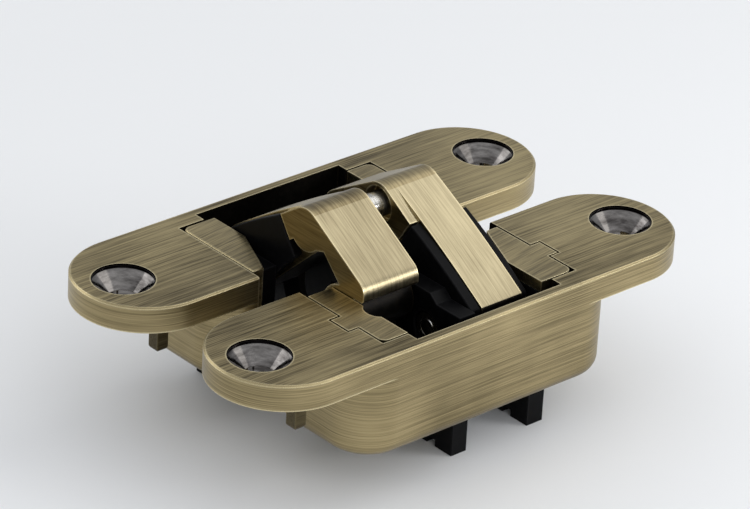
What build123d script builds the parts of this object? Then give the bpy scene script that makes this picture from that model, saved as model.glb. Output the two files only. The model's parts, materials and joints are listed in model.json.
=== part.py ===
from build123d import *
from math import atan2, cos, degrees, radians, sin
import os

# Concealed hinge, shown opened flat. Millimetres, +Z up.
# The shapes are drawn with z = 0 on the face plates, from the middle of the rear plate. X runs
# along the plates, and the front half lies towards -Y. In a case, depth u is measured from the
# plane midway between the two plates, into the case. The finished parts are then lifted, so
# that the origin lies between the rear plate's screw holes, where their bores are narrowest.

# Face plates and cases.
plate_length = 110.0
plate_width = 29.0
plate_thickness = 5.4
plate_bevel = 0.35
plate_gap = 8.6
end_shift = 2.2
face_gap = 3.0
fit = 0.03
side_gap = 0.3

case_length = 65.4
case_corner = 9.0
case_depth = 22.2
case_floor = 2.0
case_foot_round = 3.2
pocket_length = 48.8
pocket_step = 6.2
rail_ends = 4.6
rail_middle = 2.1
near_opening = 11.0
window_near = 4.2
window_far = 2.6

# Screw holes and locating pegs.
hole_spacing = 91.5
hole_radius = 3.0
sink_radius = 6.15
sink_rim = 0.8
sink_depth = 3.2
peg_length = 6.0
peg_width = 2.6
peg_from_middle = 44.3
peg_from_axis = 9.2

origin_depth = 4.8

# Blocks, guides and feet.
block_gap = 0.4
block_round = 1.6
slot_block_width = 8.5
slot_block_taper = 4.4
pivot_block_width = 6.4
scoop_radius = 3.2
scoop_depth = 1.3
tongue_length = 2.1
tongue_width = 5.0
guide_width = 4.1
guide_far = 27.2
guide_near = 9.4
guide_top = 2.4
foot_depth = 32.3
foot_length = 9.5
sole_depth = 27.0
wall_top = 0.6
wall_low_top = 2.2
wall_step_depth = 18.5
wall_thickness = 3.9
notch_length = 2.2
notch_depth = 1.4

# Arms and the linkage.
left_arm_start = -15.6
right_arm_start = 2.7
arm_width = 13.7
pin_offset = 2.0
pin_height = 8.4
closed_depth = 25.0
pivot_depth = 4.0
hub_radius = 4.5
lug_radius = 5.3
nose_reach = 6.3
nose_level = 5.3
nose_depth = 3.2
nose_shoulder = 3.2
nose_round = 0.9
neck_thickness = 4.2
neck_slope = 33.4
neck_start = 31.0
left_tail_length = 24.0
left_tail_angle = 43.0
left_tail_slope = 35.0
left_knuckle_reach = 5.8
right_tail_length = 26.0
right_tail_angle = 40.0
right_tail_slope = 31.7
right_knuckle_reach = 8.1
tail_tip_radius = 4.7
left_tail_corner = 4.5
right_tail_corner = 1.2
tail_top = 5.4
tail_bow = 0.45
cheek_drop = 0.3
left_arm_cheek = 2.0
right_arm_cheek = 2.3
right_arm_outer_cheek = 1.5
right_arm_narrowing = 1.1

# Pins, rollers and screws.
centre_radius = 2.6
centre_bite = 9.5
centre_recess_radius = 3.7
centre_recess_depth = 2.2
pivot_radius = 2.3
pivot_bite = 5.0
slide_radius = 1.9
roller_radius = 2.9
roller_length = 3.3
slot_clearance = 0.45
spacer_radius = 3.6
screw_radius = 1.5
screw_head_radius = 1.9
screw_head_height = 1.2
screw_bite = 8.0
socket_radius = 1.0
socket_depth = 0.8

middle_y = -(plate_width + plate_gap) / 2
near_edge = plate_gap / 2
far_edge = near_edge + plate_width
floor_top = case_depth - case_floor
left_arm_span = (left_arm_start, left_arm_start + arm_width)
right_arm_span = (right_arm_start, right_arm_start + arm_width)
wall_middle = (left_arm_span[1] + right_arm_span[0]) / 2
wall_span = (wall_middle - wall_thickness / 2, wall_middle + wall_thickness / 2)
rear_left_edge = -pocket_length / 2
rear_right_edge = pocket_length / 2
front_left_edge = end_shift - pocket_length / 2
front_right_edge = end_shift + pocket_length / 2


def pivot_place(pin_u):
    # The pivot lies as far from the centre pin when the hinge is open as when it is closed.
    closed_z = face_gap / 2
    reach = closed_depth ** 2 - pin_u ** 2
    rise = (closed_z + pivot_depth) ** 2 - (pin_height + pivot_depth) ** 2
    return (reach + rise) / (2 * (closed_depth - pin_u))


def turned(point, centre, angle):
    across = point[0] - centre[0]
    up = point[1] - centre[1]
    a = radians(angle)
    return (centre[0] + across * cos(a) - up * sin(a), centre[1] + across * sin(a) + up * cos(a))


def swing(pin_u, pivot_u):
    # The angle an arm turns in the case that carries its pivot, from open to closed.
    start = atan2(pin_height + pivot_depth, pin_u - pivot_u)
    end = atan2(face_gap / 2 + pivot_depth, closed_depth - pivot_u)
    return degrees(start - end)


rear_pin_u = pin_offset
front_pin_u = -pin_offset
rear_pivot_u = pivot_place(rear_pin_u)
front_pivot_u = pivot_place(front_pin_u)
rear_swing = swing(rear_pin_u, rear_pivot_u)
front_swing = swing(front_pin_u, front_pivot_u)
centre_swing = 180 - rear_swing - front_swing


def slide_place(pin_u, pivot_u, own_swing, tail, part_way):
    # Where the other arm's slide pin stands in a case, part_way from open to closed.
    pin = turned((pin_u, pin_height), (pivot_u, -pivot_depth), -own_swing * part_way)
    angle = radians(-tail[1] - (own_swing + centre_swing) * part_way)
    return (pin[0] + tail[0] * cos(angle), pin[1] + tail[0] * sin(angle))


left_tail = (left_tail_length, left_tail_angle, left_tail_slope, left_tail_corner)
right_tail = (right_tail_length, right_tail_angle, right_tail_slope, right_tail_corner)
rear_track = [slide_place(rear_pin_u, rear_pivot_u, rear_swing, left_tail, part) for part in (0, 0.5, 1)]
front_track = [slide_place(front_pin_u, front_pivot_u, front_swing, right_tail, part) for part in (0, 0.5, 1)]


def rear_y(u):
    return middle_y + u


def front_y(u):
    return middle_y - u


def ordered(first, second):
    return (min(first, second), max(first, second))


def slab(sketch, span):
    # A profile drawn in Y and Z, drawn out along X over a span.
    plane = Plane(origin=(span[0], 0, 0), x_dir=(0, 1, 0), z_dir=(1, 0, 0))
    return extrude(plane * sketch, span[1] - span[0])


def shaft(y, z, radius, span):
    return slab(Pos(y, z) * Circle(radius), span)


def box_between(low, high):
    size = [high[i] - low[i] for i in range(3)]
    middle = [(high[i] + low[i]) / 2 for i in range(3)]
    return Pos(*middle) * Box(*size)


def outline_face(points):
    return make_face(Polyline(*points, close=True))


def corner_round(face, corner, radius):
    nearest = face.vertices().sort_by_distance((corner[0], corner[1], 0))[0]
    return fillet(nearest, radius)


def screw_hole(x):
    bore = Pos(x, 0, -plate_thickness / 2) * Cylinder(hole_radius, plate_thickness * 2)
    rim = Pos(x, 0, -sink_rim / 2) * Cylinder(sink_radius, sink_rim)
    cone = Pos(x, 0, -sink_rim - sink_depth / 2) * Cone(hole_radius, sink_radius, sink_depth)
    return bore + rim + cone


def peg():
    bar = Pos(-peg_from_middle, -peg_from_axis, -plate_thickness - peg_length / 2)
    bar = bar * Box(peg_width, peg_width, peg_length)
    return fillet(bar.edges().group_by(Axis.Z)[0], peg_width * 0.35)


def casting():
    # The face plate with its screw holes and peg, and the solid case under it.
    plate = Pos(0, 0, -plate_thickness) * extrude(SlotOverall(plate_length, plate_width), plate_thickness)
    plate = chamfer(plate.edges().group_by(Axis.Z)[-1], plate_bevel)
    well = RectangleRounded(case_length, plate_width, case_corner)
    shell = Pos(0, 0, -case_depth) * extrude(well, case_depth - plate_thickness)
    shell = fillet(shell.edges().group_by(Axis.Z)[0], case_foot_round)
    body = plate + shell
    for side in (-1, 1):
        body -= screw_hole(side * hole_spacing / 2)
    return body + peg()


def pocket(to_y, middle_x):
    # The well that holds the blocks and arms, open at the top and towards the other case.
    half = pocket_length / 2
    inner = half - pocket_step
    near_wall_u = near_edge + rail_middle
    parts = [(half, near_wall_u, far_edge - rail_ends, -floor_top),
             (inner, near_wall_u, far_edge - rail_middle, -floor_top),
             (half, near_edge - 1, near_wall_u + 1, -near_opening)]
    cut = None
    for reach, u0, u1, z0 in parts:
        y0, y1 = ordered(to_y(u0), to_y(u1))
        piece = box_between((middle_x - reach, y0, z0), (middle_x + reach, y1, 1))
        cut = piece if cut is None else cut + piece
    return cut


def floor_window(to_y, span):
    # The guides and an arm's tail pass down through this window.
    y0, y1 = ordered(to_y(near_edge + window_near), to_y(far_edge - window_far))
    return box_between((span[0], y0, -case_depth - 1), (span[1], y1, -floor_top + 1))


def tongue_cut(x_edge, outward):
    middle = front_y(far_edge - plate_width / 2)
    half = tongue_width / 2 + block_gap
    x0, x1 = ordered(x_edge - outward, x_edge + outward * (tongue_length + block_gap))
    return box_between((x0, middle - half, -plate_thickness), (x1, middle + half, 1))


def screw_bore(place):
    x, y = place
    return Pos(x, y, -case_depth) * Cylinder(screw_radius + fit, case_floor * 4)


def rear_case():
    span = (slot_guide_span(rear_left_edge, 1)[0] - side_gap, wall_span[1] + side_gap)
    body = casting() - pocket(rear_y, 0) - floor_window(rear_y, span)
    for place in (rear_slot_screw, rear_pivot_screw):
        body -= screw_bore(place)
    return body


def front_case():
    span = (wall_span[0] - side_gap, slot_guide_span(front_right_edge, -1)[1] + side_gap)
    body = Pos(end_shift, 2 * middle_y, 0) * casting()
    body -= pocket(front_y, end_shift)
    body -= floor_window(front_y, span)
    for edge, outward in ((front_left_edge, -1), (front_right_edge, 1)):
        body -= tongue_cut(edge, outward)
    for place in (front_slot_screw, front_pivot_screw):
        body -= screw_bore(place)
    return body


def slot_guide_span(x_edge, inward):
    inner = x_edge + inward * slot_block_width
    return ordered(inner, inner - inward * guide_width)


def slot_block(to_y, x_edge, inward, with_tongue):
    # The long block over a slot guide. Its inner side tapers away from the other arm's knuckle.
    far_u = far_edge - rail_ends - block_gap
    outer = x_edge + inward * block_gap
    inner = x_edge + inward * slot_block_width
    near_u = near_edge + rail_middle + block_gap
    turn_u = far_edge - plate_width / 2
    points = [(outer, near_u), (inner - inward * (slot_block_taper + 1), near_u),
              (inner - inward * slot_block_taper, near_u + 2), (inner, turn_u), (inner, far_u), (outer, far_u)]
    face = outline_face([(x, to_y(u)) for x, u in points])
    face = corner_round(face, (outer, to_y(far_u)), block_round)
    body = Pos(0, 0, -floor_top) * extrude(face, floor_top)
    guide = slot_guide_span(x_edge, inward)
    x0 = guide[0] if inward > 0 else guide[0] - 1
    x1 = guide[1] + 1 if inward > 0 else guide[1]
    y0, y1 = ordered(to_y(near_edge - 1), to_y(far_edge))
    body -= box_between((x0, y0, -floor_top - 1), (x1, y1, -guide_top))
    if with_tongue:
        body += tongue(x_edge, inward)
    return body - screw_thread(to_y, x_edge, inward)


def pivot_block(to_y, x_edge, inward, pivot_u, with_tongue):
    # The block that holds the outer end of a pivot pin.
    far_u = far_edge - rail_ends - block_gap
    near_u = near_edge + rail_middle + block_gap
    outer = x_edge + inward * block_gap
    inner = x_edge + inward * pivot_block_width
    points = [(outer, near_u), (inner, near_u), (inner, far_u), (outer, far_u)]
    face = outline_face([(x, to_y(u)) for x, u in points])
    face = corner_round(face, (outer, to_y(far_u)), block_round)
    if with_tongue:
        scoop_x = inner + inward * (scoop_radius - scoop_depth)
        face -= Pos(scoop_x, to_y(far_edge - plate_width / 2 - 0.5)) * Circle(scoop_radius)
    body = Pos(0, 0, -floor_top) * extrude(face, floor_top)
    hole = ordered(inner - inward * pivot_bite, inner + inward)
    body -= shaft(to_y(pivot_u), -pivot_depth, pivot_radius + fit, hole)
    if with_tongue:
        body += tongue(x_edge, inward)
    return body - screw_thread(to_y, x_edge, inward)


def tongue(x_edge, inward):
    middle = front_y(far_edge - plate_width / 2)
    x0, x1 = ordered(x_edge - inward * tongue_length, x_edge + inward)
    half = tongue_width / 2
    return box_between((x0, middle - half, -plate_thickness), (x1, middle + half, 0))


def screw_thread(to_y, x_edge, inward):
    x, y = block_screw_place(to_y, x_edge, inward)
    return Pos(x, y, -floor_top + screw_bite / 2) * Cylinder(screw_radius + fit, screw_bite + 0.2)


def block_screw_place(to_y, x_edge, inward):
    return (x_edge + inward * 2.3, to_y(far_edge - plate_width / 2))


def block_screw(place):
    x, y = place
    length = case_floor + screw_bite
    stem = Pos(x, y, -case_depth + length / 2) * Cylinder(screw_radius, length)
    head = Pos(x, y, -case_depth - screw_head_height / 2) * Cylinder(screw_head_radius, screw_head_height)
    socket = Pos(x, y, -case_depth - screw_head_height) * extrude(RegularPolygon(socket_radius, 6), socket_depth)
    return stem + head - socket


rear_slot_screw = block_screw_place(rear_y, rear_left_edge, 1)
rear_pivot_screw = block_screw_place(rear_y, rear_right_edge, -1)
front_slot_screw = block_screw_place(front_y, front_right_edge, -1)
front_pivot_screw = block_screw_place(front_y, front_left_edge, 1)


def track_slot(to_y, track, span):
    # The slot follows the path of a slide pin from open to closed, with clearance round its roller.
    start, middle, end = [(to_y(u), z) for u, z in track]
    radius = roller_radius + slot_clearance
    route = ThreePointArc(start, middle, end)
    return slab(SlotArc(route, radius * 2), span)


def guide_lower(to_y, top, near):
    # The part of a guide below its top: the sole passes the case floor and the foot goes lowest.
    return [(to_y(guide_far), top), (to_y(guide_far), -foot_depth),
            (to_y(guide_far - foot_length), -foot_depth), (to_y(guide_far - foot_length), -sole_depth),
            (to_y(guide_near), -sole_depth), (to_y(guide_near), near)]


def foot_notch(to_y, span):
    notch_u = guide_far - foot_length / 2
    y0, y1 = ordered(to_y(notch_u), to_y(notch_u - notch_length))
    return box_between((span[0] - 1, y0, -foot_depth - 1), (span[1] + 1, y1, -foot_depth + notch_depth))


def end_guide(to_y, x_edge, inward, track):
    # The black plate under a slot block, with the outer slot of a slide pin.
    span = slot_guide_span(x_edge, inward)
    points = guide_lower(to_y, -guide_top, -guide_top)
    plate = slab(outline_face(points), span)
    plate -= track_slot(to_y, track, (span[0] - 1, span[1] + 1))
    return plate - foot_notch(to_y, span)


def middle_guide(to_y, track, pivot_u):
    # The wall between the arms holds one end of a pivot pin and has the other slot.
    near_u = near_edge + 0.4
    points = guide_lower(to_y, -wall_low_top, -near_opening + 0.5)
    points += [(to_y(near_u), -near_opening + 0.5), (to_y(near_u), -wall_top),
               (to_y(wall_step_depth), -wall_top), (to_y(wall_step_depth + 2), -wall_low_top)]
    wall = slab(outline_face(points), wall_span)
    through = (wall_span[0] - 1, wall_span[1] + 1)
    wall -= track_slot(to_y, track, through)
    wall -= shaft(to_y(pivot_u), -pivot_depth, pivot_radius + fit, through)
    return wall - foot_notch(to_y, wall_span)


def tail_tip(tail):
    # The slide pin's place along and across the tail's own top edge.
    lean = radians(tail[1] - tail[2])
    return (tail[0] * cos(lean), -tail[0] * sin(lean))


def tail_face(tail, drop, start):
    # The tail drawn along its gently bowed top edge, from a start distance to its rounded tip.
    along, across = tail_tip(tail)
    end = along + tail_tip_radius - drop
    rise = (tail_top - hub_radius) / end
    low = hub_radius - drop + start * rise
    high = tail_top - drop
    middle = ((start + end) / 2, (low + high) / 2 + tail_bow)
    edges = [ThreePointArc((start, low), middle, (end, high)), Line((end, high), (end, across)),
             Line((end, across), (along, across)), Line((along, across), (along, across - tail_tip_radius + drop)),
             Line((along, across - tail_tip_radius + drop), (start, -hub_radius + drop)),
             Line((start, -hub_radius + drop), (start, low))]
    face = corner_round(make_face(edges), (end, high), tail[3])
    face = face + Pos(along, across) * Circle(tail_tip_radius - drop)
    return Rot(0, 0, -tail[2]) * face


def knuckle_face(tail, reach):
    block = Pos(reach / 2, hub_radius / 2 - 0.4) * Rectangle(reach, hub_radius + 0.8)
    return Rot(0, 0, -tail[2]) * block + Circle(hub_radius)


def neck_face(pivot):
    # The short arm from the hub to its lug. Its nose stands a little further out than the lug.
    slope = radians(neck_slope)
    start = radians(neck_start)

    def line_z(across, level):
        return (level - across * sin(slope)) / cos(slope)

    end = pivot[0] + nose_reach
    top = line_z(end, nose_level)
    low = nose_level - neck_thickness
    notch = pivot[0] * 0.5
    points = [(hub_radius * sin(start), hub_radius * cos(start)), (end, top), (end, top - nose_depth),
              (pivot[0] + lug_radius * 0.6, top - nose_depth), pivot, (pivot[0] - 0.8, pivot[1] + lug_radius - 0.1),
              (notch, line_z(notch, low)), (0, -hub_radius * 0.9), (0, 0)]
    face = corner_round(outline_face(points), (end, top), nose_shoulder)
    face = corner_round(face, (end, top - nose_depth), nose_round)
    return face + Pos(*pivot) * Circle(lug_radius)


def facing(face, side):
    return face if side > 0 else mirror(face, Plane.YZ)


def slide_pin_place(to_tail, hub_y, tail):
    angle = radians(-tail[1])
    return (hub_y + to_tail * tail[0] * cos(angle), pin_height + tail[0] * sin(angle))


def arm(to_tail, tail, reach, pivot_across, span, band_span):
    # A wide knuckle with a short arm to its pivot lug, and a narrower tail to its slide pin.
    hub = (rear_y(pin_offset), pin_height)
    pivot = (pivot_across, -(pin_height + pivot_depth))
    knuckle = facing(knuckle_face(tail, reach), to_tail) + facing(neck_face(pivot), -to_tail)
    body = slab(Pos(*hub) * knuckle, span)
    body += slab(Pos(*hub) * facing(tail_face(tail, 0, 0), to_tail), band_span)
    slide_y, slide_z = slide_pin_place(to_tail, hub[0], tail)
    through = (span[0] - 1, span[1] + 2)
    body -= shaft(slide_y, slide_z, slide_radius + fit, through)
    body -= shaft(hub[0] - to_tail * pivot_across, -pivot_depth, pivot_radius + fit, through)
    bore = (wall_middle - centre_bite - side_gap, wall_middle + centre_bite + side_gap)
    return body - shaft(hub[0], pin_height, centre_radius + fit, bore)


def left_arm():
    band = (left_arm_span[0] + left_arm_cheek, left_arm_span[1] - left_arm_cheek)
    across = front_pivot_u - front_pin_u
    return arm(1, left_tail, left_knuckle_reach, across, left_arm_span, band)


def right_arm():
    knuckle = (right_arm_span[0], right_arm_span[1] - right_arm_narrowing)
    band = (right_arm_span[0] + right_arm_cheek, knuckle[1])
    across = rear_pivot_u - rear_pin_u
    body = arm(-1, right_tail, right_knuckle_reach, across, knuckle, band)
    recess = (right_arm_span[0] - 1, right_arm_span[0] + centre_recess_depth)
    return body - shaft(rear_y(pin_offset), pin_height, centre_recess_radius, recess)


def cheek(to_tail, tail, reach, span):
    # A dark side plate along the tail, a little below its brushed top.
    hub = (rear_y(pin_offset), pin_height)
    face = facing(tail_face(tail, cheek_drop, reach), to_tail)
    plate = slab(Pos(*hub) * face, span)
    slide_y, slide_z = slide_pin_place(to_tail, hub[0], tail)
    return plate - shaft(slide_y, slide_z, slide_radius + fit, (span[0] - 1, span[1] + 1))


def cheeks():
    left = left_arm_span
    right = right_arm_span
    start = left_knuckle_reach + block_gap
    reach = right_knuckle_reach + block_gap
    outer = (right[1] - right_arm_narrowing, right[1] - right_arm_narrowing + right_arm_outer_cheek)
    return {
        "left_arm_cheek_left": cheek(1, left_tail, start, (left[0], left[0] + left_arm_cheek)),
        "left_arm_cheek_right": cheek(1, left_tail, start, (left[1] - left_arm_cheek, left[1])),
        "right_arm_cheek_left": cheek(-1, right_tail, reach, (right[0], right[0] + right_arm_cheek)),
        "right_arm_cheek_right": cheek(-1, right_tail, reach, outer),
    }


def pin(y, z, radius, span):
    body = shaft(y, z, radius, span)
    return chamfer(body.edges().filter_by(GeomType.CIRCLE), radius * 0.12)


def pivot_pins():
    rear_inner = rear_right_edge - pivot_block_width
    front_inner = front_left_edge + pivot_block_width
    rear_span = (wall_span[0], rear_inner + pivot_bite - side_gap)
    front_span = (front_inner - pivot_bite + side_gap, wall_span[1])
    return {
        "rear_pivot_pin": pin(rear_y(rear_pivot_u), -pivot_depth, pivot_radius, rear_span),
        "front_pivot_pin": pin(front_y(front_pivot_u), -pivot_depth, pivot_radius, front_span),
    }


def centre_pin():
    span = (wall_middle - centre_bite, wall_middle + centre_bite)
    return pin(rear_y(pin_offset), pin_height, centre_radius, span)


def slide_parts():
    # Each slide pin has a roller at both ends, inside the two slots.
    parts = {}
    rear_guide = slot_guide_span(rear_left_edge, 1)
    front_guide = slot_guide_span(front_right_edge, -1)
    sides = [("rear", rear_y, rear_track, (rear_guide[0], wall_span[1])),
             ("front", front_y, front_track, (wall_span[0], front_guide[1]))]
    for name, to_y, track, reach in sides:
        y = to_y(track[0][0])
        z = track[0][1]
        ends = (reach[0] + side_gap, reach[1] - side_gap)
        parts[name + "_slide_pin"] = pin(y, z, slide_radius, ends)
        left_roller = (ends[0], ends[0] + roller_length)
        right_roller = (ends[1] - roller_length, ends[1])
        for side, span in (("left", left_roller), ("right", right_roller)):
            ring = shaft(y, z, roller_radius, span)
            ring = ring - shaft(y, z, slide_radius + fit, (span[0] - 1, span[1] + 1))
            parts[name + "_roller_" + side] = ring
    return parts


def spacer(to_y, pivot_u, span):
    # A ring that keeps an arm's lug off the block beside it.
    ring = shaft(to_y(pivot_u), -pivot_depth, spacer_radius, span)
    return ring - shaft(to_y(pivot_u), -pivot_depth, pivot_radius + fit, (span[0] - 1, span[1] + 1))


def all_parts():
    parts = {
        "rear_case": rear_case(),
        "front_case": front_case(),
        "rear_block_left": slot_block(rear_y, rear_left_edge, 1, False),
        "rear_block_right": pivot_block(rear_y, rear_right_edge, -1, rear_pivot_u, False),
        "front_block_left": pivot_block(front_y, front_left_edge, 1, front_pivot_u, True),
        "front_block_right": slot_block(front_y, front_right_edge, -1, True),
        "rear_end_guide": end_guide(rear_y, rear_left_edge, 1, rear_track),
        "front_end_guide": end_guide(front_y, front_right_edge, -1, front_track),
        "rear_middle_guide": middle_guide(rear_y, rear_track, rear_pivot_u),
        "front_middle_guide": middle_guide(front_y, front_track, front_pivot_u),
        "left_arm": left_arm(),
        "right_arm": right_arm(),
        "centre_pin": centre_pin(),
        "rear_slot_screw": block_screw(rear_slot_screw),
        "rear_pivot_screw": block_screw(rear_pivot_screw),
        "front_slot_screw": block_screw(front_slot_screw),
        "front_pivot_screw": block_screw(front_pivot_screw),
    }
    rear_gap = (right_arm_span[1] - right_arm_narrowing + side_gap / 2, rear_right_edge - pivot_block_width)
    parts["rear_pivot_spacer"] = spacer(rear_y, rear_pivot_u, rear_gap)
    parts.update(cheeks())
    parts.update(pivot_pins())
    parts.update(slide_parts())
    return parts


if __name__ == "__main__":
    os.makedirs("parts", exist_ok=True)
    for name, shape in all_parts().items():
        export_step(Pos(0, 0, origin_depth) * shape, "parts/" + name + ".step")
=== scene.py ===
import bpy
import bmesh
import json
import math
from mathutils import Matrix, Vector


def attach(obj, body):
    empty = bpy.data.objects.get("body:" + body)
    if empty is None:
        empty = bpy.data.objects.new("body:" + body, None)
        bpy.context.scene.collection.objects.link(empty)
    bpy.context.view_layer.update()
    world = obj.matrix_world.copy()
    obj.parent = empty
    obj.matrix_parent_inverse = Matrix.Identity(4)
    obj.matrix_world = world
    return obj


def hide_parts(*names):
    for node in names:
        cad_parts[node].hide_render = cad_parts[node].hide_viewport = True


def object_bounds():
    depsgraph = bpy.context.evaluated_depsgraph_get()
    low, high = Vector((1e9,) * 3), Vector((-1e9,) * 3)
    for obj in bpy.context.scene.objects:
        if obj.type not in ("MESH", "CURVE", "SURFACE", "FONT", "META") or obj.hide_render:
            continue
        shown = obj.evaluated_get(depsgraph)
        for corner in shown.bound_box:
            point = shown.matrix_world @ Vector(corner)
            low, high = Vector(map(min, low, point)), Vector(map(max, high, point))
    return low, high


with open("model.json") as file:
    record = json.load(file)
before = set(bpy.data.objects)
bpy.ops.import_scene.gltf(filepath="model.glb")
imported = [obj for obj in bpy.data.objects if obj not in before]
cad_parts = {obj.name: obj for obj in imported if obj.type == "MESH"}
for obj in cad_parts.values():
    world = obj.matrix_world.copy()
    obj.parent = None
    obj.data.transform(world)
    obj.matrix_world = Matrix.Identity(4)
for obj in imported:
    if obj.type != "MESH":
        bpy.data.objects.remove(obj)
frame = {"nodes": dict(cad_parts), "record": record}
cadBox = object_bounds()
mm = 0.001
faceLevel = 4.8 * mm    # height of the face plates above the origin
bodyOf = {node: body for body, nodes in frame["record"]["behaviour"]["bodies"].items() for node in nodes}


def newGroup(name, inputs, outputs):
    group = bpy.data.node_groups.new(name, "ShaderNodeTree")
    for label, kind, value in inputs:
        socket = group.interface.new_socket(label, in_out="INPUT", socket_type=kind)
        socket.default_value = value
    for label, kind in outputs:
        group.interface.new_socket(label, in_out="OUTPUT", socket_type=kind)
    return group, group.nodes.new("NodeGroupInput"), group.nodes.new("NodeGroupOutput")


def mathNode(tree, operation, first, second, clamp=False):
    node = tree.nodes.new("ShaderNodeMath")
    node.operation = operation
    node.use_clamp = clamp
    for slot, value in enumerate((first, second)):
        if isinstance(value, (int, float)):
            node.inputs[slot].default_value = value
        else:
            tree.links.new(value, node.inputs[slot])
    return node.outputs[0]


grain = {"detail": 5.0, "roughness": 0.62, "cloudDetail": 3.0, "floor": 0.37, "contrast": 4.2}


def makeBrushedGrain():
    # long fine streaks over a slow cloudy variation, both in object space
    group, given, out = newGroup(
        "brushedGrain",
        [("Stretch", "NodeSocketVector", (1.0, 1.0, 1.0)), ("Turn", "NodeSocketVector", (0.0, 0.0, 0.0)),
         ("Cloud Size", "NodeSocketFloat", 60.0), ("Cloud Share", "NodeSocketFloat", 0.35)],
        [("Mask", "NodeSocketFloat"), ("Height", "NodeSocketFloat")])
    coords = group.nodes.new("ShaderNodeTexCoord")
    turned = group.nodes.new("ShaderNodeVectorRotate")
    turned.rotation_type = "EULER_XYZ"
    group.links.new(coords.outputs["Object"], turned.inputs["Vector"])
    group.links.new(given.outputs["Turn"], turned.inputs["Rotation"])
    stretched = group.nodes.new("ShaderNodeVectorMath")
    stretched.operation = "MULTIPLY"
    group.links.new(turned.outputs[0], stretched.inputs[0])
    group.links.new(given.outputs["Stretch"], stretched.inputs[1])
    streaks = group.nodes.new("ShaderNodeTexNoise")
    streaks.inputs["Scale"].default_value = 1.0
    streaks.inputs["Detail"].default_value = grain["detail"]
    streaks.inputs["Roughness"].default_value = grain["roughness"]
    group.links.new(stretched.outputs[0], streaks.inputs["Vector"])
    clouds = group.nodes.new("ShaderNodeTexNoise")
    clouds.inputs["Detail"].default_value = grain["cloudDetail"]
    group.links.new(coords.outputs["Object"], clouds.inputs["Vector"])
    group.links.new(given.outputs["Cloud Size"], clouds.inputs["Scale"])
    streakShare = mathNode(group, "SUBTRACT", 1.0, given.outputs["Cloud Share"])
    fine = mathNode(group, "MULTIPLY", streaks.outputs["Fac"], streakShare)
    slow = mathNode(group, "MULTIPLY", clouds.outputs["Fac"], given.outputs["Cloud Share"])
    lifted = mathNode(group, "SUBTRACT", mathNode(group, "ADD", fine, slow), grain["floor"])
    spread = mathNode(group, "MULTIPLY", lifted, grain["contrast"], True)
    group.links.new(spread, out.inputs["Mask"])
    group.links.new(streaks.outputs["Fac"], out.inputs["Height"])
    return group


wearAndLightMask = {"samples": 6, "gain": 6.0}


def makeEdgeWearAndPaintedLight():
    # rounded normals against true normals find the edges; their colour is partly plating rubbed bright and
    # partly painted light, mostly a painted highlight along the rims
    group, given, out = newGroup(
        "edgeWearAndPaintedLight", [("Width", "NodeSocketFloat", 0.0004), ("Amount", "NodeSocketFloat", 1.0)],
        [("Mask", "NodeSocketFloat")])
    rounded = group.nodes.new("ShaderNodeBevel")
    rounded.samples = wearAndLightMask["samples"]
    group.links.new(given.outputs["Width"], rounded.inputs["Radius"])
    plain = group.nodes.new("ShaderNodeNewGeometry")
    dot = group.nodes.new("ShaderNodeVectorMath")
    dot.operation = "DOT_PRODUCT"
    group.links.new(rounded.outputs["Normal"], dot.inputs[0])
    group.links.new(plain.outputs["Normal"], dot.inputs[1])
    away = mathNode(group, "SUBTRACT", 1.0, dot.outputs["Value"])
    gained = mathNode(group, "MULTIPLY", away, wearAndLightMask["gain"])
    group.links.new(mathNode(group, "MULTIPLY", gained, given.outputs["Amount"], True), out.inputs["Mask"])
    return group


brushedGrain = makeBrushedGrain()
edgeWearAndPaintedLight = makeEdgeWearAndPaintedLight()


def startMaterial(name, settings):
    material = bpy.data.materials.new(name)
    material.use_nodes = True
    tree = material.node_tree
    tree.nodes.clear()
    surface = tree.nodes.new("ShaderNodeBsdfPrincipled")
    output = tree.nodes.new("ShaderNodeOutputMaterial")
    tree.links.new(surface.outputs[0], output.inputs["Surface"])
    for label, value in settings.items():
        surface.inputs[label].default_value = value
    return material, tree, surface


def mixColour(tree, factor, first, second):
    mix = tree.nodes.new("ShaderNodeMix")
    mix.data_type = "RGBA"
    tree.links.new(factor, mix.inputs["Factor"])
    for label, value in (("A", first), ("B", second)):
        socket = [s for s in mix.inputs if s.name == label and s.type == "RGBA"][0]
        if isinstance(value, tuple):
            socket.default_value = (*value, 1.0)
        else:
            tree.links.new(value, socket)
    return [s for s in mix.outputs if s.type == "RGBA"][0]


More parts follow.
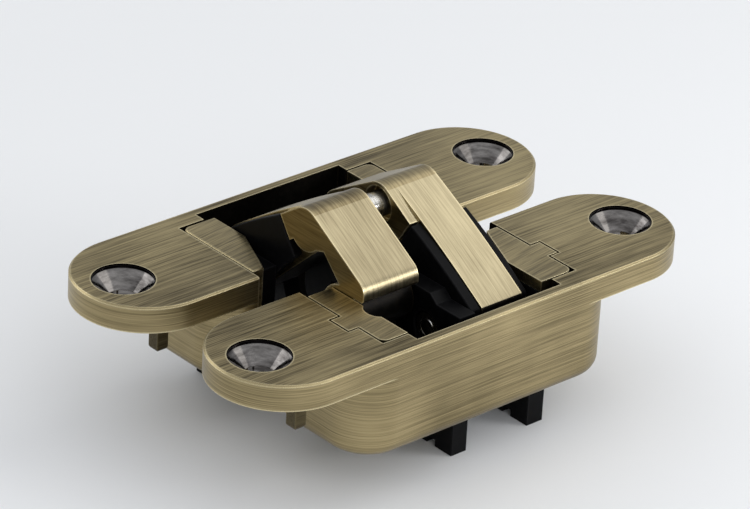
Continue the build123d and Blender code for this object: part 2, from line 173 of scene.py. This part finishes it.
def grainMaterial(name, look):
    # brushed metal: streaks drive colour, roughness and a slight bump, and edges take an edge colour that is
    # partly real rubbing and partly a painted highlight
    settings = {"Metallic": look["metallic"], "Anisotropic": look["anisotropic"],
                "Specular IOR Level": look["specular"]}
    material, tree, surface = startMaterial(name, settings)
    brushed = tree.nodes.new("ShaderNodeGroup")
    brushed.node_tree = brushedGrain
    brushed.inputs["Stretch"].default_value = look["stretch"]
    brushed.inputs["Turn"].default_value = look["turn"]
    brushed.inputs["Cloud Size"].default_value = look["cloudSize"]
    brushed.inputs["Cloud Share"].default_value = look["cloudShare"]
    wornAndLit = tree.nodes.new("ShaderNodeGroup")
    wornAndLit.node_tree = edgeWearAndPaintedLight
    wornAndLit.inputs["Width"].default_value = look["wearAndLightWidth"]
    wornAndLit.inputs["Amount"].default_value = look["wearAndLightAmount"]
    colour = mixColour(tree, brushed.outputs["Mask"], look["dark"], look["light"])
    colour = mixColour(tree, wornAndLit.outputs["Mask"], colour, look["wearAndPaintedLight"])
    tree.links.new(colour, surface.inputs["Base Color"])
    rough = mathNode(tree, "MULTIPLY", brushed.outputs["Height"], look["roughSpread"])
    rough = mathNode(tree, "ADD", rough, look["roughness"])
    tree.links.new(rough, surface.inputs["Roughness"])
    bump = tree.nodes.new("ShaderNodeBump")
    bump.inputs["Strength"].default_value = look["bump"]
    bump.inputs["Distance"].default_value = look["bumpDepth"]
    tree.links.new(brushed.outputs["Height"], bump.inputs["Height"])
    tree.links.new(bump.outputs["Normal"], surface.inputs["Normal"])
    return material


# worn edge colour: rubbed plating brightened further into a painted highlight along the rims
bronzeLook = {
    "metallic": 1.0, "anisotropic": 0.35, "specular": 0.5,
    "stretch": (60.0, 3000.0, 3000.0), "turn": (0.0, 0.0, 0.0), "cloudSize": 34.0, "cloudShare": 0.42,
    "dark": (0.072, 0.055, 0.025), "light": (0.465, 0.380, 0.205), "wearAndPaintedLight": (0.78, 0.68, 0.43),
    "wearAndLightWidth": 0.0006, "wearAndLightAmount": 1.3,
    "roughness": 0.24, "roughSpread": 0.22, "bump": 0.45, "bumpDepth": 0.0001,
}
plateBronze = grainMaterial("plateBronze", bronzeLook)

sideLook = {**bronzeLook, "stretch": (50.0, 50.0, 4800.0),
            "dark": (0.170, 0.136, 0.070), "light": (0.440, 0.355, 0.190)}
sideBronze = grainMaterial("sideBronze", sideLook)

# pegs under the plate ends: the casting's bronze darkened as painted shade
pegShadedLook = {**bronzeLook,
           "dark": (0.04, 0.03, 0.014), "light": (0.10, 0.08, 0.04), "wearAndPaintedLight": (0.11, 0.09, 0.045)}
pegShadedBronze = grainMaterial("pegShadedBronze", pegShadedLook)

armLook = {**bronzeLook, "stretch": (3000.0, 90.0, 90.0),
           "dark": (0.24, 0.20, 0.12), "light": (0.50, 0.43, 0.275)}
armBronze = grainMaterial("armBronze", armLook)

knuckleLook = {**armLook, "dark": (0.14, 0.11, 0.06), "light": (0.40, 0.33, 0.19)}
knuckleBronze = grainMaterial("knuckleBronze", knuckleLook)

# the arm's side faces: the band's bronze darkened as painted shade
flankShadedLook = {**bronzeLook, "stretch": (90.0, 90.0, 2600.0),
             "dark": (0.13, 0.095, 0.038), "light": (0.30, 0.225, 0.095)}
flankShadedBronze = grainMaterial("flankShadedBronze", flankShadedLook)

blockLook = {**bronzeLook, "stretch": (90.0, 3000.0, 3000.0), "turn": (0.0, 0.0, math.radians(-8)),
             "dark": (0.14, 0.115, 0.065)}
blockBronze = grainMaterial("blockBronze", blockLook)

# pocket interiors: near-black painted shade down in the recesses
pocketShadeLook = {**bronzeLook, "metallic": 0.85, "stretch": (900.0, 900.0, 900.0),
              "dark": (0.003, 0.0025, 0.002), "light": (0.014, 0.011, 0.008), "wearAndPaintedLight": (0.05, 0.038, 0.022),
              "roughness": 0.42, "bump": 0.2}
pocketShade = grainMaterial("pocketShade", pocketShadeLook)

# countersinks: a dark grey base painted in for the dark reflection in the glossy cone, with a painted black band
# of shade at the mouth
sinkShadeLook = {**bronzeLook, "anisotropic": 0.0, "stretch": (160.0, 160.0, 700.0), "cloudShare": 0.1,
            "dark": (0.06, 0.055, 0.052), "light": (0.26, 0.245, 0.235), "wearAndPaintedLight": (0.03, 0.025, 0.02),
            "roughness": 0.05, "roughSpread": 0.12, "bump": 0.08,
            "mouthShade": (0.006, 0.005, 0.005), "mouthShadeDepth": 0.9 * mm}
sinkShadeAndReflection = grainMaterial("sinkShadeAndReflection", sinkShadeLook)


def paintShadeAbove(material, level, colour):
    # painted shade: a flat dark band at the mouth of a countersink, standing in for the shade on the counterbore
    # wall, read from the height
    tree = material.node_tree
    surface = tree.nodes["Principled BSDF"]
    coords = tree.nodes.new("ShaderNodeTexCoord")
    parts = tree.nodes.new("ShaderNodeSeparateXYZ")
    tree.links.new(coords.outputs["Object"], parts.inputs[0])
    above = mathNode(tree, "GREATER_THAN", parts.outputs["Z"], level)
    before = surface.inputs["Base Color"].links[0].from_socket
    tree.links.new(mixColour(tree, above, before, colour), surface.inputs["Base Color"])


paintShadeAbove(sinkShadeAndReflection, faceLevel - sinkShadeLook["mouthShadeDepth"], sinkShadeLook["mouthShade"])

guideLook = {**bronzeLook, "metallic": 0.0, "anisotropic": 0.0, "specular": 0.07,
             "stretch": (700.0, 700.0, 700.0),
             "dark": (0.0015, 0.0015, 0.0017), "light": (0.004, 0.004, 0.0045), "wearAndPaintedLight": (0.012, 0.012, 0.013),
             "roughness": 0.34, "bump": 0.25}
guideBlack = grainMaterial("guideBlack", guideLook)

pinLook = {**bronzeLook, "stretch": (5200.0, 300.0, 300.0),
           "dark": (0.42, 0.41, 0.39), "light": (0.74, 0.73, 0.70), "wearAndPaintedLight": (0.85, 0.84, 0.82),
           "roughness": 0.16, "roughSpread": 0.14}
pinSteel = grainMaterial("pinSteel", pinLook)
print("materials ready")


def applied(thing):
    # a plain mesh of the evaluated object, with no modifier left on it
    graph = bpy.context.evaluated_depsgraph_get()
    graph.update()
    mesh = bpy.data.meshes.new_from_object(thing.evaluated_get(graph), depsgraph=graph)
    thing.modifiers.clear()
    thing.data = mesh
    return thing


cleaning = {"merge": 0.002 * mm, "flat": math.radians(0.6), "sharp": math.radians(42)}


def roundedCopy(node, pieceName, edge):
    # the CAD shape, merged into clean faces, with its sharp edges broken
    source = frame["nodes"][node]
    work = bmesh.new()
    work.from_mesh(source.data)
    work.transform(source.matrix_world)
    bmesh.ops.remove_doubles(work, verts=work.verts, dist=cleaning["merge"])
    bmesh.ops.dissolve_limit(work, angle_limit=cleaning["flat"], verts=work.verts, edges=work.edges)
    mesh = bpy.data.meshes.new(pieceName)
    work.to_mesh(mesh)
    work.free()
    piece = bpy.data.objects.new(pieceName, mesh)
    bpy.context.collection.objects.link(piece)
    bevel = piece.modifiers.new("softEdges", "BEVEL")
    bevel.width = edge["width"]
    bevel.segments = edge["steps"]
    bevel.limit_method = "ANGLE"
    bevel.angle_limit = math.radians(edge["angle"])
    bevel.use_clamp_overlap = True
    weighted = piece.modifiers.new("evenShade", "WEIGHTED_NORMAL")
    weighted.keep_sharp = True
    piece.data.shade_smooth()
    piece.data.set_sharp_from_angle(angle=cleaning["sharp"])
    return applied(piece)


def dress(node, pieceName, edge, materials, choose=None):
    piece = roundedCopy(node, pieceName, edge)
    piece.data.materials.clear()
    for material in materials:
        piece.data.materials.append(material)
    if choose:
        for face in piece.data.polygons:
            face.material_index = choose(face.center, face.normal)
    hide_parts(node)
    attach(piece, bodyOf[node])


# the turns are limits on a face's upward normal
plateHoles = {"spacing": 91.5 * mm, "radius": 6.4 * mm, "depth": 6 * mm, "shift": 2.2 * mm, "frontY": -37.6 * mm,
              "leastTurn": -0.5, "mostTurn": 0.98}


def holePair(shift, middleY):
    half = plateHoles["spacing"] / 2
    return [Vector((shift + side * half, middleY, faceLevel)) for side in (-1, 1)]


rearHoles = holePair(0, 0)
frontHoles = holePair(plateHoles["shift"], plateHoles["frontY"])

casting = {"width": 0.3 * mm, "steps": 2, "angle": 35, "wallTop": -0.5 * mm,
           "near": 3.8 * mm, "far": 31.3 * mm, "middleY": -18.8 * mm, "reach": 24.5 * mm,
           "halfCase": 33.2 * mm, "under": -5.5 * mm, "halfDepth": 11 * mm, "flatTurn": 0.8}


def castingFace(holes, shift, toward):
    # 0 plating, 1 painted shade inside the pocket, 2 countersink darkened with painted shade and a painted dark
    # reflection, 3 plating brushed round the sides, 4 pegs darkened with painted shade under the plate ends
    middle = (holes[0] + holes[1]) / 2 - Vector((0, 0, casting["halfDepth"]))

    def choose(centre, normal):
        for hole in holes:
            near = (centre - hole).to_2d().length < plateHoles["radius"]
            sloped = plateHoles["leastTurn"] < normal.z < plateHoles["mostTurn"]
            if near and sloped and centre.z > faceLevel - plateHoles["depth"]:
                return 2
        depth = (centre.y - casting["middleY"]) * toward
        across = abs(centre.x - shift)
        inside = across < casting["reach"] and casting["near"] < depth < casting["far"]
        inward = (centre - middle).dot(normal) < 0
        if inside and inward and centre.z < faceLevel + casting["wallTop"]:
            return 1
        if across > casting["halfCase"] and centre.z < faceLevel + casting["under"]:
            return 4
        return 0 if abs(normal.z) > casting["flatTurn"] else 3
    return choose


castingLooks = [plateBronze, pocketShade, sinkShadeAndReflection, sideBronze, pegShadedBronze]
dress("rear_case", "rearCasting", casting, castingLooks, castingFace(rearHoles, 0.0, 1))
dress("front_case", "frontCasting", casting, castingLooks, castingFace(frontHoles, plateHoles["shift"], -1))

block = {"width": 0.28 * mm, "steps": 2, "angle": 35}
for node, pieceName in (("rear_block_left", "rearLongBlock"), ("rear_block_right", "rearPivotBlock"),
                        ("front_block_left", "frontPivotBlock"), ("front_block_right", "frontLongBlock")):
    dress(node, pieceName, block, [blockBronze])

armEdge = {"width": 0.35 * mm, "steps": 3, "angle": 35, "lugTop": -0.2 * mm, "knuckleFront": -20 * mm,
           "sideTurn": 0.8, "lugTurn": 0.6, "knuckleTurn": 0.86}


def armFace(centre, normal):
    # 0 band, 1 the pockets' painted shade on the lugs and hidden flanks inside the pockets, 2 side faces
    # darkened with painted shade, 3 upward knuckle
    if abs(normal.x) > armEdge["sideTurn"]:
        return 2
    if centre.z < faceLevel + armEdge["lugTop"] and normal.z < armEdge["lugTurn"]:
        return 1
    return 3 if normal.z > armEdge["knuckleTurn"] and centre.y > armEdge["knuckleFront"] else 0


armLooks = [armBronze, pocketShade, flankShadedBronze, knuckleBronze]
dress("left_arm", "leftArmBody", armEdge, armLooks, armFace)
dress("right_arm", "rightArmBody", armEdge, armLooks, armFace)

thin = {"width": 0.2 * mm, "steps": 2, "angle": 35}
for node, shown in frame["nodes"].items():
    if "guide" in node or "cheek" in node:
        dress(node, node.replace("_", "-") + "-black", thin, [guideBlack])
    elif node.endswith("pin") or "roller" in node or "screw" in node or "spacer" in node:
        shown.data.materials.clear()
        shown.data.materials.append(pinSteel)
print("pieces dressed")

shadeCollar = {"radius": 6.05 * mm, "wire": 0.16 * mm, "drop": 0.35 * mm, "turns": 64, "sides": 8}


def sinkShadeCollars(pieceName, body, start, material):
    # a thin black ring of painted shade just inside each countersink, standing in for the dark counterbore wall,
    # placed by geometry nodes
    tree = bpy.data.node_groups.new("sinkShadeRings", "GeometryNodeTree")
    tree.interface.new_socket("Geometry", in_out="INPUT", socket_type="NodeSocketGeometry")
    tree.interface.new_socket("Geometry", in_out="OUTPUT", socket_type="NodeSocketGeometry")
    sizes = {"Ring Radius": shadeCollar["radius"], "Wire Radius": shadeCollar["wire"], "Spacing": plateHoles["spacing"]}
    sockets = {label: tree.interface.new_socket(label, in_out="INPUT", socket_type="NodeSocketFloat")
               for label in sizes}
    given = tree.nodes.new("NodeGroupInput")
    out = tree.nodes.new("NodeGroupOutput")
    ring = tree.nodes.new("GeometryNodeCurvePrimitiveCircle")
    ring.inputs["Resolution"].default_value = shadeCollar["turns"]
    tree.links.new(given.outputs["Ring Radius"], ring.inputs["Radius"])
    wire = tree.nodes.new("GeometryNodeCurvePrimitiveCircle")
    wire.inputs["Resolution"].default_value = shadeCollar["sides"]
    tree.links.new(given.outputs["Wire Radius"], wire.inputs["Radius"])
    swept = tree.nodes.new("GeometryNodeCurveToMesh")
    tree.links.new(ring.outputs["Curve"], swept.inputs["Curve"])
    tree.links.new(wire.outputs["Curve"], swept.inputs["Profile Curve"])
    line = tree.nodes.new("GeometryNodeMeshLine")
    line.inputs["Count"].default_value = 2
    line.inputs["Start Location"].default_value = start
    offset = tree.nodes.new("ShaderNodeCombineXYZ")
    tree.links.new(given.outputs["Spacing"], offset.inputs["X"])
    tree.links.new(offset.outputs[0], line.inputs["Offset"])
    placed = tree.nodes.new("GeometryNodeInstanceOnPoints")
    tree.links.new(line.outputs["Mesh"], placed.inputs["Points"])
    tree.links.new(swept.outputs["Mesh"], placed.inputs["Instance"])
    real = tree.nodes.new("GeometryNodeRealizeInstances")
    tree.links.new(placed.outputs["Instances"], real.inputs[0])
    painted = tree.nodes.new("GeometryNodeSetMaterial")
    painted.inputs["Material"].default_value = material
    tree.links.new(real.outputs[0], painted.inputs["Geometry"])
    tree.links.new(painted.outputs[0], out.inputs["Geometry"])
    piece = bpy.data.objects.new(pieceName, bpy.data.meshes.new(pieceName))
    bpy.context.collection.objects.link(piece)
    modifier = piece.modifiers.new("rings", "NODES")
    modifier.node_group = tree
    for label, value in sizes.items():
        modifier[sockets[label].identifier] = value
    applied(piece)
    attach(piece, body)


for pieceName, body, holes in (("rearSinkShadeRings", "rear", rearHoles), ("frontSinkShadeRings", "front", frontHoles)):
    first = holes[0]
    sinkShadeCollars(pieceName, body, (first.x, first.y, first.z - shadeCollar["drop"]), sinkShadeAndReflection)
print("sink rings placed")

studio = {"floor": (0.835, 0.843, 0.855), "floorSize": 2.5, "floorRoughness": 0.55, "patchScale": 3.0,
          "patchShade": 0.98, "worldTop": (0.95, 0.97, 1.0), "worldLow": (0.40, 0.41, 0.42),
          "worldLevel": 0.82, "worldClimb": 1.15}


def paleFloor():
    size = studio["floorSize"]
    mesh = bpy.data.meshes.new("floor")
    low = cadBox[0].z
    corners = [(-size, -size, low), (size, -size, low), (size, size, low), (-size, size, low)]
    mesh.from_pydata(corners, [], [(0, 1, 2, 3)])
    floor = bpy.data.objects.new("floor", mesh)
    bpy.context.collection.objects.link(floor)
    material, tree, surface = startMaterial("floorPale", {"Roughness": studio["floorRoughness"]})
    noise = tree.nodes.new("ShaderNodeTexNoise")
    noise.inputs["Scale"].default_value = studio["patchScale"]
    shaded = tuple(c * studio["patchShade"] for c in studio["floor"])
    colour = mixColour(tree, noise.outputs["Fac"], studio["floor"], shaded)
    tree.links.new(colour, surface.inputs["Base Color"])
    mesh.materials.append(material)


def paleWorld():
    world = bpy.data.worlds.new("paleWorld")
    world.use_nodes = True
    tree = world.node_tree
    background = tree.nodes["Background"]
    coords = tree.nodes.new("ShaderNodeTexCoord")
    parts = tree.nodes.new("ShaderNodeSeparateXYZ")
    tree.links.new(coords.outputs["Generated"], parts.inputs[0])
    height = mathNode(tree, "MULTIPLY", parts.outputs["Z"], studio["worldClimb"], True)
    colour = mixColour(tree, height, studio["worldLow"], studio["worldTop"])
    tree.links.new(colour, background.inputs["Color"])
    background.inputs["Strength"].default_value = studio["worldLevel"]
    bpy.context.scene.world = world


# places, aims and sizes in metres, power in watts
middleAim = (0, -0.02, 0)
lamps = {
    "topSoft": {"place": (0.55, -0.16, 0.66), "aim": middleAim, "size": (0.80, 0.62), "power": 1.5,
                "colour": (1.0, 0.98, 0.94)},
    "cameraSoft": {"place": (-0.25, -0.95, 0.75), "aim": middleAim, "size": (0.9, 0.7), "power": 2.6,
                   "colour": (1.0, 1.0, 1.0)},
    "rightSoft": {"place": (0.25, -0.30, 0.09), "aim": (0.03, -0.05, -0.01), "size": (0.14, 0.10),
                  "power": 0.5, "colour": (1.0, 1.0, 1.0)},
    "backSoft": {"place": (-0.45, 0.85, 0.50), "aim": middleAim, "size": (0.9, 0.5), "power": 2.2,
                 "colour": (1.0, 1.0, 1.0)},
}


def softBox(name, lamp):
    light = bpy.data.lights.new(name, "AREA")
    light.shape = "RECTANGLE"
    light.size, light.size_y = lamp["size"]
    light.energy = lamp["power"]
    light.color = lamp["colour"]
    box = bpy.data.objects.new(name, light)
    bpy.context.collection.objects.link(box)
    box.location = lamp["place"]
    box.rotation_euler = (Vector(lamp["aim"]) - Vector(lamp["place"])).to_track_quat("-Z", "Y").to_euler()


# the place in millimetres and the picture axes of the fitted camera
view = {"place": (-506.8, -572.2, 403.1), "right": (0.7538, -0.6551, 0.0504),
        "down": (-0.2748, -0.3841, -0.8815), "look": (0.5968, 0.6506, -0.4696),
        "lens": 212.9, "sensor": 36.0, "clip": 0.01}


def photoCamera():
    camera = bpy.data.cameras.new("photoView")
    camera.lens = view["lens"]
    camera.sensor_width = view["sensor"]
    camera.clip_start = view["clip"]
    eye = bpy.data.objects.new("photoView", camera)
    bpy.context.collection.objects.link(eye)
    axes = (Vector(view["right"]), -Vector(view["down"]), -Vector(view["look"]))
    turn = Matrix(axes).transposed().to_4x4()
    eye.matrix_world = Matrix.Translation(Vector(view["place"]) * mm) @ turn
    bpy.context.scene.camera = eye


paleFloor()
paleWorld()
for name, lamp in lamps.items():
    softBox(name, lamp)
photoCamera()
bpy.context.scene.view_settings.view_transform = "Standard"
print("stage ready")
